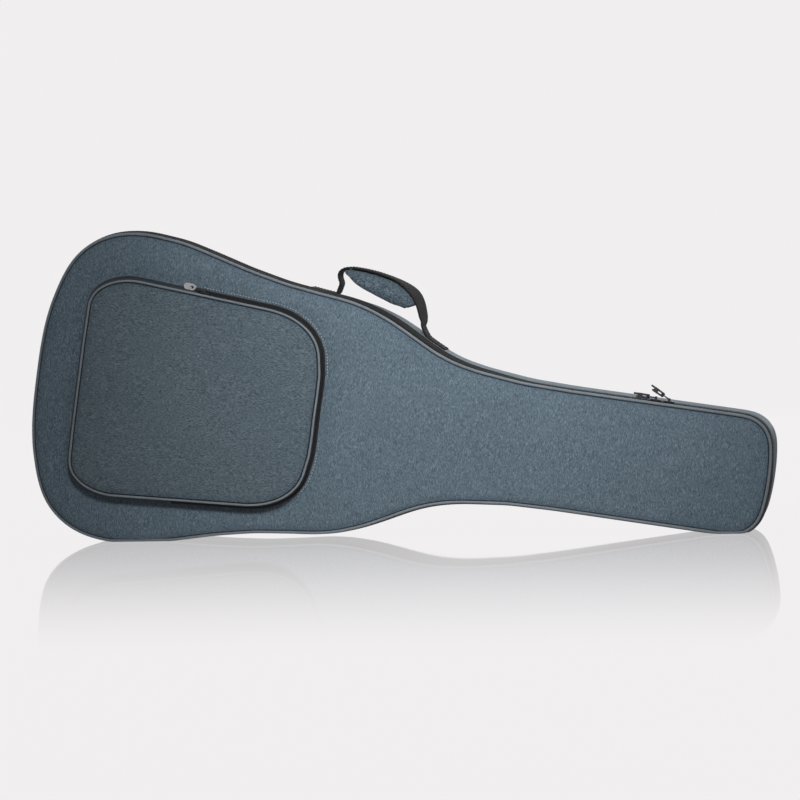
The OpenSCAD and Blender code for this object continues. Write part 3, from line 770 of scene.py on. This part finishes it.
for n, body in (("tail_pad", "case"), ("head_pad", "case"), ("neck_rest", "case")):
    o = soft_copy(n, n + "_cushion", 0.0035 / FINE, 10)
    finish(o, M_PAD, body, [n])
for n, body in (("neck_strap_upper", "neck_flap_upper"), ("neck_strap_lower", "neck_flap_lower"),
    ("neck_strap_anchor", "case")):
    o = bevelled_copy(n, n + "_webbing", 0.0006)
    finish(o, M_WEB, body, [n])

# ---------------------------------------------------------------- pocket
P_FRONT = lo("pocket_panel")[1]
P_EDGE = pocket_loop
pk_pipe_r = (hi("pocket_piping")[1] - lo("pocket_piping")[1]) / 2
pk_u, pk_v = pocket_loop[:, 0] - U0, pocket_loop[:, 1] - V0
pocket_face = padded_panel("pocket_face", P_EDGE, pocket_n, 0.0008, P_FRONT + 0.0012, -1, (0.0022, 0.0035),
    0.0008, int(90 * FINE), 61.0)
finish(pocket_face, M_POCKET, "pocket_flap", ["pocket_panel", "pocket_padding"])
pipe_path = ring(-pk_pipe_r * 0.35, P_FRONT + pk_pipe_r * 0.75, P_EDGE, pocket_n, floor=0)
finish(tube("pocket_edge_piping", pipe_path, pk_pipe_r * 0.8, 12, True), M_PIPING, "pocket_flap",
    ["pocket_piping"])

zip_pts = local(mesh_points("pocket_base_coil")[:, [0, 2]])
zip_u = (zip_pts[zip_pts[:, 1] > V0, 0].min() - U0, zip_pts[zip_pts[:, 1] < V0, 0].min() - U0)
zipped = ((pk_v > 0) & (pk_u > zip_u[0])) | ((pk_v <= 0) & (pk_u > zip_u[1]))
PZIP = np.where(zipped)[0]
PCLOTH = np.roll(np.arange(len(pk_u)), -PZIP.max())[: len(pk_u) - len(PZIP) + 2]
F_COIL = (lo("pocket_flap_coil")[1], hi("pocket_flap_coil")[1])
B_COIL = (lo("pocket_base_coil")[1], hi("pocket_base_coil")[1])
P_MID = (F_COIL[1] + B_COIL[0]) / 2
spread = 0.0055 + 0.004 * np.clip(1 - (pk_u - 0.06) / 0.08, 0, 1) - 0.002 * np.clip((pk_u - 0.36) / 0.04, 0,
    1)


def flare(y):
    """How far the pocket's wall stands out at depth y, from its front edge to its foot."""
    t = min(max((y - P_FRONT - 0.003) / (FRONT - P_FRONT - 0.003), 0), 1)
    return 0.001 + spread * t**2


def pocket_tape(name, y0, y1, body, replaced):
    tape(name, y0, y1, 0.0, 0.0008, PZIP, body, replaced, loop=P_EDGE, nrm=pocket_n, floor=0, out=flare)


pocket_tape("pocket_flap_zip_tape", P_FRONT + 0.0028, F_COIL[0] + 0.0006, "pocket_flap",
    ["pocket_flap_tape"])
pocket_tape("pocket_base_zip_tape", B_COIL[1] - 0.0006, FRONT - 0.0012, "lid", ["pocket_base_tape"])
coil("pocket_flap_zip_coil", P_MID - 0.0001, F_COIL[0], 0.0003 - flare(P_MID), PITCH * 0.8, "pocket_flap",
    ["pocket_flap_coil"], PZIP, P_EDGE, pocket_n)
coil("pocket_base_zip_coil", P_MID + 0.0001, B_COIL[1], 0.0003 - flare(P_MID), PITCH * 0.8, "lid",
    ["pocket_base_coil"], PZIP, P_EDGE, pocket_n, 0.5)

skin = 0.0012
rows = []
depths = np.linspace(P_FRONT + 0.0028, FRONT + 0.001, 16)
for y in depths:
    rows.append(ring(-flare(y) - 0.0008 * math.sin(math.pi * (y - depths[0]) / (depths[-1] - depths[0])), y,
        P_EDGE, pocket_n, PCLOTH, 0))
for y in depths[::-1]:
    rows.append(ring(-flare(y) + skin, y, P_EDGE, pocket_n, PCLOTH, 0))
gusset = loft("pocket_gusset_cloth", rows, close_rows=True, close_cols=False, caps=True)
finish(gusset, M_POCKET, None, ["pocket_flap_cloth"],
       blend=("lid", "pocket_flap", (0, P_MID + 0.004, 0), (0, P_MID - 0.004, 0)))
foot_rows = [ring(-flare(FRONT) + a, FRONT + y, P_EDGE, pocket_n, PZIP, 0)
             for a, y in ((0.0006, -0.0024), (-0.0004, -0.0022), (-0.0014, -0.0008), (-0.0016, 0.003))]
foot = loft("pocket_foot_cloth", foot_rows, close_cols=False)
finish(foot, M_BLACK, "lid", ["pocket_base_cloth"])
inner = loft("pocket_inner_lining",
    [ring(0.0004, y, P_EDGE, pocket_n, None, 0) for y in (FRONT - 0.003, FRONT + 0.003)])
finish(inner, M_BLACK, "lid")

# ---------------------------------------------------------------- sliders and pulls
for n, body, mat, slot, bevel in (
    ("zip_slider_body", "body_slider", M_BLACK_METAL, "black_hardware", 0.0005),
    ("zip_slider_head", "head_slider", M_BLACK_METAL, "black_hardware", 0.0005),
    ("pull_tab_body", "body_pull", M_BLACK_METAL, "black_hardware", 0.0003),
    ("pull_tab_head", "head_pull", M_BLACK_METAL, "black_hardware", 0.0003),
    ("pull_loop_body", "body_pull", M_PULL, "pull_cord", 0.0004),
    ("pull_loop_head", "head_pull", M_PULL, "pull_cord", 0.0004),
    ("pocket_slider", "pocket_runner", M_BLACK_METAL, "black_hardware", 0.0004),
    ("pocket_pull_link", "pocket_pull", M_BLACK_METAL, "black_hardware", 0.0003),
    ("pocket_pull_tab", "pocket_pull", M_NICKEL, "nickel_hardware", 0.0004),
):
    finish(bevelled_copy(n, n + "_detail", bevel), mat, body, [n])

# ---------------------------------------------------------------- carry handle
swing = JOINT["handle_swing"]
pivot, swing_axis = np.array(swing["pos_m"]), np.array(swing["axis"])
lift_dir = np.array([-swing_axis[2], 0, swing_axis[0]])
lift_dir *= np.sign(lift_dir[2])
HANDLE_Y = (lo("handle_loop")[1] + hi("handle_loop")[1]) / 2
HANDLE_W = hi("handle_loop")[1] - lo("handle_loop")[1]


def centre_line(pts):
    """The middle of a thin band, from its outline: the pairing of its two sides with the most even width."""
    n = len(pts)
    best = None
    for k in range(n):
        i = np.arange(n // 2)
        a, b = pts[(k + i) % n], pts[(k - 1 - i) % n]
        d = np.linalg.norm(a - b, axis=1)
        score = d.std() + d.mean() * 0.01
        if best is None or score < best[0]:
            best = (score, (a + b) / 2, d.mean())
    line = best[1]
    return (line if line[0, 0] < line[-1, 0] else line[::-1]), best[2]


def smooth_path(pts, count, soften):
    """An open path, evenly spaced and softened, with its ends held."""
    pts = np.asarray(pts, float)
    s = np.concatenate([[0], np.cumsum(np.linalg.norm(np.diff(pts, axis=0), axis=1))])
    t = np.linspace(0, s[-1], 2000)
    q = np.stack([np.interp(t, s, pts[:, k]) for k in range(pts.shape[1])], -1)
    w = int(3 * soften / (s[-1] / 2000)) + 1
    k = np.exp(-0.5 * (np.arange(-w, w + 1) * (s[-1] / 2000) / soften) ** 2)
    k /= k.sum()
    pad = np.vstack([2 * q[0] - q[w:0:-1], q, 2 * q[-1] - q[-2 : -w - 2 : -1]])
    q = np.stack([np.convolve(pad[:, j], k, "valid") for j in range(q.shape[1])], -1)
    return q[np.linspace(0, 1999, count).astype(int)]


loop_line, WEB_T = centre_line(local(outline("handle_loop")))
tail_q = local(mesh_points("handle_tails")[:, [0, 2]])
p_axis = local(np.array([[pivot[0], pivot[2]]]))[0]
d_axis = local(np.array([[swing_axis[0], swing_axis[2]]]))[0]
foot_l, foot_r = (p_axis + d_axis * ((q - p_axis) @ d_axis) for q in (loop_line[0], loop_line[-1]))
wall_mid = RIM - case_n * (TAPE_IN - WEB_T / 2 - 0.0012 + back_in(HANDLE_Y))[:, None]
upper = np.where((CASE_V > 0))[0]
left_run = wall_mid[[k for k in upper if tail_q[:, 0].min() <= RIM[k, 0] <= foot_l[0] + 0.0005]]
right_run = wall_mid[[k for k in upper if foot_r[0] + 0.006 <= RIM[k, 0] <= tail_q[:, 0].max()]]
web_line = smooth_path(np.vstack([left_run, foot_l[None], loop_line, foot_r[None], right_run]),
    int(190 * FINE), 0.0028)


def ribbon(name, line, width, thick, y_mid, round_=0.35, cup=0.0, twist=0.0):
    """A flat band swept along a line in x and z, its width along y.

    cup lowers its two edges, and twist turns it about the line.
    """
    t = np.gradient(line, axis=0)
    t /= np.linalg.norm(t, axis=1)[:, None]
    nrm = np.stack([-t[:, 1], t[:, 0]], -1)
    w = np.broadcast_to(width, (len(line),)) / 2
    prof = [(-1, 0), (-0.985, round_), (-0.94, 0.5), (-0.5, 0.5), (0, 0.5), (0.5, 0.5), (0.94, 0.5),
        (0.985, round_), (1, 0)]
    prof += [(a, -b) for a, b in prof[-2:0:-1]]
    c, tw = np.broadcast_to(cup, (len(line),)), np.broadcast_to(twist, (len(line),))
    rows = []
    for k in range(len(line)):
        row = []
        for a, b in prof:
            high, across = b * thick - c[k] * abs(a) ** 2.5, a * w[k]
            p = world_xz(line[k] + nrm[k] * (high * math.cos(tw[k]) + across * math.sin(tw[k])))
            row.append((p[0], y_mid + across * math.cos(tw[k]) - high * math.sin(tw[k]), p[1]))
        rows.append(row)
    return loft(name, rows, caps=True)


web_lift = (web_line - p_axis) @ np.array([-d_axis[1], d_axis[0]]) * np.sign(d_axis[0])
web_u = web_line[:, 0] - U0
web_twist = math.radians(13) * np.exp(-(((web_u - 0.525) / 0.022) ** 2)) * np.clip(web_lift / 0.012, 0, 1)
web_obj = ribbon("handle_webbing", web_line, HANDLE_W, WEB_T, HANDLE_Y, twist=web_twist)
fold = (tuple(pivot - lift_dir * 0.007), tuple(pivot + lift_dir * 0.007))
finish(web_obj, M_WEB, None, ["handle_tails", "handle_loop"],
    blend=("case", "handle", *fold))
for side in (-1, 1):
    edge_line = smooth_path(np.vstack([left_run, foot_l[None], loop_line, foot_r[None], right_run]),
        int(190 * FINE), 0.0028)
    t = np.gradient(edge_line, axis=0)
    t /= np.linalg.norm(t, axis=1)[:, None]
    up = edge_line + np.stack([-t[:, 1], t[:, 0]], -1) * (WEB_T / 2 + 0.0001)
    q = world_xz(up)
    path = np.stack([q[:, 0], np.full(len(q), HANDLE_Y + side * (HANDLE_W / 2 - 0.003)), q[:, 1]], -1)
    stitches("handle_stitching_" + ("back" if side > 0 else "front"), path, 0.003, 0.0016, 0.0004,
        M_THREAD, None,
             blend=("case", "handle", *fold))


def ray_depth(origin, direction, poly):
    a, b = poly, np.roll(poly, -1, 0)
    e = b - a
    den = direction[0] * e[:, 1] - direction[1] * e[:, 0]
    den = np.where(np.abs(den) < 1e-12, 1e-12, den)
    r = a - origin
    t = (r[:, 0] * e[:, 1] - r[:, 1] * e[:, 0]) / den
    u = (r[:, 0] * direction[1] - r[:, 1] * direction[0]) / den
    hit = t[(u >= 0) & (u <= 1) & (t > 0)]
    return hit.max() if len(hit) else 0.0


grip_poly = local(outline("handle_grip"))
grip_line = smooth_path(loop_line, int(80 * FINE), 0.003)
gt = np.gradient(grip_line, axis=0)
gt /= np.linalg.norm(gt, axis=1)[:, None]
gn = np.stack([-gt[:, 1], gt[:, 0]], -1)
depth = np.array([ray_depth(c, -n, grip_poly) for c, n in zip(grip_line, gn)])
keep = np.where((depth > 0.004) & (gn @ gn[len(gn) // 2] > 0.6))[0]
keep = np.arange(keep.min(), keep.max() + 1)
span = np.linspace(0, 1, len(keep))
depth = np.polyval(np.polyfit(span, depth[keep], 4), span)
gn = np.stack([np.interp(np.arange(len(gn)), keep,
    np.polyval(np.polyfit(span, gn[keep, k], 5), span)) for k in (0, 1)], -1)
leaf = np.clip(np.sin(math.pi * span), 0, 1) ** 0.45
GRIP_W = hi("handle_grip")[1] - lo("handle_grip")[1]
pad_top = WEB_T / 2 + 0.0004
rows = []
for i, kk in enumerate(keep):
    half = (HANDLE_W * 0.42 + (GRIP_W / 2 - HANDLE_W * 0.42) * leaf[i])
    drop = max(depth[i], pad_top + 0.003)
    wall = 0.0045 * leaf[i] + 0.0015
    outer, inner = [], []
    for a in np.linspace(-1, 1, 25):
        # an arch: flat on top, rounded shoulders, drooping sides
        ang = a * math.pi / 2
        y = half * math.copysign(abs(math.sin(ang)) ** 0.75, a)
        f = 1 - abs(math.cos(ang)) ** 0.55
        outer.append((y, pad_top + (drop - pad_top) * f))
        inner.append((y * (half - wall) / half, pad_top + wall + (drop - pad_top - wall * 1.2) * f))
    sec = outer + inner[::-1]
    rows.append([(*(world_xz(grip_line[kk] - gn[kk] * h)[[0]]), HANDLE_Y + y,
        world_xz(grip_line[kk] - gn[kk] * h)[1]) for y, h in sec])
grip = loft("handle_grip_pad", rows, caps=True)
finish(grip, M_GRIP, "handle", ["handle_grip"])

# ---------------------------------------------------------------- shoulder straps
for part in ("upper", "lower"):
    body = part + "_strap"
    pad_node = "strap_pad_" + part
    edge = outline(pad_node)
    y0, y1 = lo(pad_node)[1], hi(pad_node)[1]
    o = soft_copy(pad_node, pad_node + "_cushion", 0.003 / FINE, 9)
    finish(o, M_GRIP, body, [pad_node])
    q = smooth_path(np.vstack([local(edge), local(edge)[:1]]), int(260 * FINE), 0.004)
    w = world_xz(q)
    path = np.stack([w[:, 0], np.full(len(w), (y0 + y1) / 2), w[:, 1]], -1)[:-1]
    finish(tube(pad_node + "_binding", path, 0.002, 10, True), M_BLACK, body)
    for n in ("strap_web_", "strap_tail_"):
        finish(bevelled_copy(n + part, n + part + "_webbing", 0.0007), M_WEB, body,
            [n + part])
    n = "strap_buckle_" + part
    finish(bevelled_copy(n, n + "_moulding", 0.0012, 4), M_PLASTIC, body, [n])
    n = "strap_tab_" + part
    finish(bevelled_copy(n, n + "_cloth", 0.0006), M_WEB, "case", [n])
finish(bevelled_copy("strap_patch", "strap_patch_cloth", 0.0007), M_BLACK, "case",
    ["strap_patch"])


def box_stitch(name, node_name, y, margin=0.006):
    """A stitched box with a cross, on a patch."""
    q = local(mesh_points(node_name)[:, [0, 2]])
    if node_name.startswith("strap_tab"):
        c = q.mean(0)
        pts = outline(node_name)
        corners = [p + (local(pts).mean(0) - p) * 0.2 for p in local(pts)]
    else:
        u0, u1, v0, v1 = q[:, 0].min() + margin, q[:, 0].max() - margin, q[:, 1].min() + margin, q[:,
            1].max() - margin
        corners = [np.array(c) for c in ((u0, v0), (u1, v0), (u1, v1), (u0, v1))]
    loop = corners + corners[:1] + ([corners[2], corners[3], corners[1]] if len(corners) == 4 else [])
    path = []
    for a, b in zip(loop[:-1], loop[1:]):
        path += [a + (b - a) * t for t in np.linspace(0, 1, 20)]
    w = world_xz(np.array(path))
    stitches(name, np.stack([w[:, 0], np.full(len(w), y), w[:, 1]], -1), 0.003, 0.0016, 0.0004,
        M_GREY_THREAD, "case")


box_stitch("patch_stitching", "strap_patch", hi("strap_patch")[1])
for part in ("upper", "lower"):
    box_stitch("tab_stitching_" + part, "strap_tab_" + part, hi("strap_tab_" + part)[1])

# the pocket's pale top stitching, on the lid beside the zip
run = np.where(zipped & (pk_u > 0.22) & (pk_v > -0.12))[0]
stitches("pocket_top_stitching", ring(-flare(FRONT) - 0.0045, FRONT - 0.0012, P_EDGE, pocket_n, run, 0),
    0.0022, 0.0022, 0.0005,
         M_PALE_THREAD, "lid")

# ---------------------------------------------------------------- floor, light and camera
prof = [(-9.0, 0.0), (5.0, 0.0)] + [(5.0 + 4.0 * math.sin(a),
    4.0 - 4.0 * math.cos(a)) for a in np.linspace(0.05, math.pi / 2, 24)] + [(9.0, 12.0)]
floor = loft("floor", [[(-14.0, y, z), (14.0, y, z)] for y, z in prof], close_cols=False)
floor_mat, nt, bsdf = shader("pale_floor")
bsdf.inputs["Base Color"].default_value = (0.015, 0.015, 0.015, 1)
bsdf.inputs["Roughness"].default_value = 0.9
bsdf.inputs["Specular IOR Level"].default_value = 0.0
bsdf.inputs["Emission Color"].default_value = (1.0, 0.982, 0.991, 1)
bsdf.inputs["Emission Strength"].default_value = 0.872
gloss = node(nt, "ShaderNodeBsdfGlossy", Roughness=0.035)
gloss.inputs["Color"].default_value = (1, 1, 1, 1)
tc = node(nt, "ShaderNodeTexCoord")
split = node(nt, "ShaderNodeSeparateXYZ")
nt.links.new(tc.outputs["Object"], split.inputs["Vector"])
fade = node(nt, "ShaderNodeMapRange", interpolation_type="SMOOTHSTEP")
for k, v in (("From Min", FRONT - 1.6), ("From Max", FRONT + 0.1), ("To Min", 0.0), ("To Max", 0.44)):
    fade.inputs[k].default_value = v
behind = node(nt, "ShaderNodeMapRange", interpolation_type="SMOOTHSTEP")
for k, v in (("From Min", BACK), ("From Max", BACK + 0.9), ("To Min", 1.0), ("To Max", 0.0)):
    behind.inputs[k].default_value = v
shine = node(nt, "ShaderNodeMath", operation="MULTIPLY")
nt.links.new(split.outputs["Y"], fade.inputs["Value"])
nt.links.new(split.outputs["Y"], behind.inputs["Value"])
nt.links.new(fade.outputs["Result"], shine.inputs[0])
nt.links.new(behind.outputs["Result"], shine.inputs[1])
blend_shader = node(nt, "ShaderNodeMixShader")
nt.links.new(shine.outputs[0], blend_shader.inputs[0])
nt.links.new(bsdf.outputs[0], blend_shader.inputs[1])
nt.links.new(gloss.outputs[0], blend_shader.inputs[2])
nt.links.new(blend_shader.outputs[0], nt.nodes["Material Output"].inputs["Surface"])
floor.data.materials.append(floor_mat)
floor.visible_diffuse = False

world = bpy.data.worlds.new("studio")
bpy.context.scene.world = world
world.use_nodes = True
world.node_tree.nodes["Background"].inputs["Color"].default_value = (1.0, 0.99, 1.0, 1)
world.node_tree.nodes["Background"].inputs["Strength"].default_value = 0.2


def area(name, at, target, size, power, color=(1, 1, 1)):
    data = bpy.data.lights.new(name, "AREA")
    data.shape, data.size, data.energy, data.color = "DISK", size, power, color
    obj = bpy.data.objects.new(name, data)
    bpy.context.scene.collection.objects.link(obj)
    obj.location = at
    obj.rotation_euler = (Vector(target) - Vector(at)).to_track_quat("-Z", "Y").to_euler()
    obj.visible_glossy = False


middle = (0.0, 0, 0.2)
spot_data = bpy.data.lights.new("key", "SPOT")
spot_data.energy, spot_data.spot_size, spot_data.spot_blend = 172, math.radians(38), 1.0
spot_data.shadow_soft_size = 0.25
spot = bpy.data.objects.new("key", spot_data)
bpy.context.scene.collection.objects.link(spot)
spot.location = (0.25, -1.9, 1.15)
spot.rotation_euler = (Vector((0.08, 0, 0.24)) - spot.location).to_track_quat("-Z", "Y").to_euler()
area("fill", (1.9, -2.4, 1.4), middle, 2.0, 7)
area("top", (0.2, 0.6, 2.6), middle, 1.6, 14)
area("back_fill", (0.5, 3.2, 1.8), middle, 2.6, 40)

scene = bpy.context.scene
scene.view_settings.view_transform = "Standard"
cam_data = bpy.data.cameras.new("camera")
cam_data.sensor_width = 36.0
cam_data.lens = 173.42
cam_data.clip_end = 60.0
cam = bpy.data.objects.new("camera", cam_data)
scene.collection.objects.link(cam)
yaw, pitch, roll = math.radians(9.0), math.radians(2.3), math.radians(-1.439)
forward = Vector((-math.sin(yaw) * math.cos(pitch), math.cos(yaw) * math.cos(pitch), -math.sin(pitch)))
right = forward.cross(Vector((0, 0, 1))).normalized()
up = right.cross(forward)
right, up = right * math.cos(roll) + up * math.sin(roll), up * math.cos(roll) - right * math.sin(roll)
turn = Matrix((right, up, -forward)).transposed()
cam.matrix_world = Matrix.Translation((0.8663, FRONT - 5.4266, 0.4184)) @ turn.to_4x4()
scene.camera = cam
